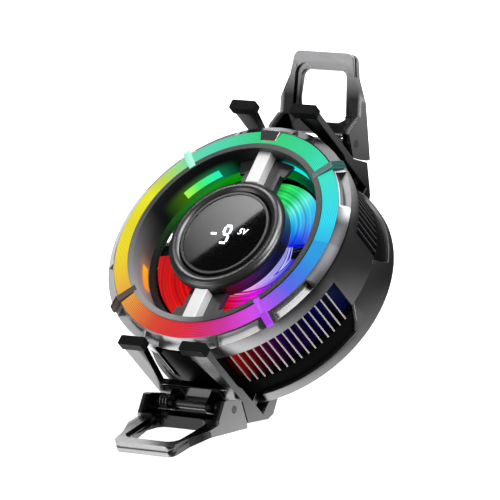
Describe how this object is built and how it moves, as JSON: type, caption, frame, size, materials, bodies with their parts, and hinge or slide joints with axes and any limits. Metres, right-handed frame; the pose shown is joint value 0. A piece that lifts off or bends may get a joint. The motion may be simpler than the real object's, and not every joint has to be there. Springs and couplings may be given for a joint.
{
  "type": "phone cooling fan",
  "caption": "Clip-on phone cooler: round housing with lit ring, fan, round display, cold plate and two sprung clamps with finger loops.",
  "frame": {"origin": "middle of the thermal pad face that touches the phone", "axes": "+Z out of the display, +Y to the upper clamp, +X to the right seen from the display side"},
  "size_m": [0.07, 0.1262, 0.0368],
  "materials": {
    "shell_grey": "gloss",
    "black_plastic": "satin",
    "black_gloss": "gloss",
    "silver_trim": "polished",
    "clamp_metal": "satin",
    "fin_metal": "satin",
    "plate_metal": "brushed",
    "spring_steel": "polished",
    "pin_steel": "polished",
    "rubber_black": "matt",
    "pad_grey": "matt",
    "ceramic_white": "matt",
    "pellet_metal": "satin",
    "foam_black": "matt",
    "light_diffuser": "satin",
    "board_green": "satin",
    "display_glass": "gloss",
    "digit_white": "gloss",
    "copper_wire": "satin",
    "magnet_grey": "matt"
  },
  "bodies": {
    "housing": {"thermal_pad": "pad_grey", "cold_plate": "plate_metal", "peltier_ceramics": "ceramic_white", "peltier_pellets": "pellet_metal", "insulation_frame": "foam_black", "heatsink": "fin_metal", "rear_cover": "shell_grey", "mid_frame": "black_plastic", "case_screws": "pin_steel", "front_cover": "shell_grey", "bridge_blocks": "light_diffuser", "top_tab": "shell_grey", "glow_ring": "light_diffuser", "led_board": "board_green", "led_chips": "digit_white", "bore_liner": "black_gloss", "light_windows": "light_diffuser", "lower_light_ring": "light_diffuser", "hub_frame": "black_plastic", "spoke_trims": "silver_trim", "display_bezel": "black_gloss", "display_trim_ring": "silver_trim", "display_board": "board_green", "display_segments": "digit_white", "display_glass": "display_glass", "motor_stator": "pin_steel", "stator_windings": "copper_wire", "bearing_sleeve": "copper_wire", "port_board": "board_green", "usb_socket": "spring_steel", "top_return_springs": "spring_steel", "bottom_return_springs": "spring_steel"},
    "rotor": {"impeller": "light_diffuser", "rotor_magnet": "magnet_grey", "rotor_shaft": "pin_steel"},
    "top_clamp": {"top_carriage": "clamp_metal", "top_finger_caps": "rubber_black", "top_jaw_pad": "rubber_black", "top_hinge_pin": "pin_steel", "top_loop_spring": "spring_steel"},
    "top_loop": {"top_finger_loop": "clamp_metal"},
    "bottom_clamp": {"bottom_carriage": "clamp_metal", "bottom_finger_caps": "rubber_black", "bottom_jaw_pad": "rubber_black", "bottom_hinge_pin": "pin_steel", "bottom_loop_spring": "spring_steel"},
    "bottom_loop": {"bottom_finger_loop": "clamp_metal"}
  },
  "joints": [
    {"name": "fan_spin", "type": "hinge", "parent": "housing", "child": "rotor", "pos_m": [0, 0, 0.0195], "axis": [0, 0, 1], "continuous": true},
    {"name": "top_clamp_slide", "type": "slide", "parent": "housing", "child": "top_clamp", "axis": [0, 1, 0], "range_m": [0, 0.011], "stiffness_N_per_m": 400, "springref_m": -0.006, "deforming": ["top_return_springs"]},
    {"name": "top_loop_hinge", "type": "hinge", "parent": "top_clamp", "child": "top_loop", "pos_m": [0, 0.0417, 0.0118], "axis": [1, 0, 0], "range_deg": [0, 50], "stiffness_Nm_per_rad": 0.01, "springref_deg": -34.38},
    {"name": "bottom_clamp_slide", "type": "slide", "parent": "housing", "child": "bottom_clamp", "axis": [0, -1, 0], "range_m": [0, 0.011], "stiffness_N_per_m": 400, "springref_m": -0.006, "deforming": ["bottom_return_springs"]},
    {"name": "bottom_loop_hinge", "type": "hinge", "parent": "bottom_clamp", "child": "bottom_loop", "pos_m": [0, -0.0417, 0.0118], "axis": [-1, 0, 0], "range_deg": [0, 50], "stiffness_Nm_per_rad": 0.01, "springref_deg": -34.38}
  ]
}
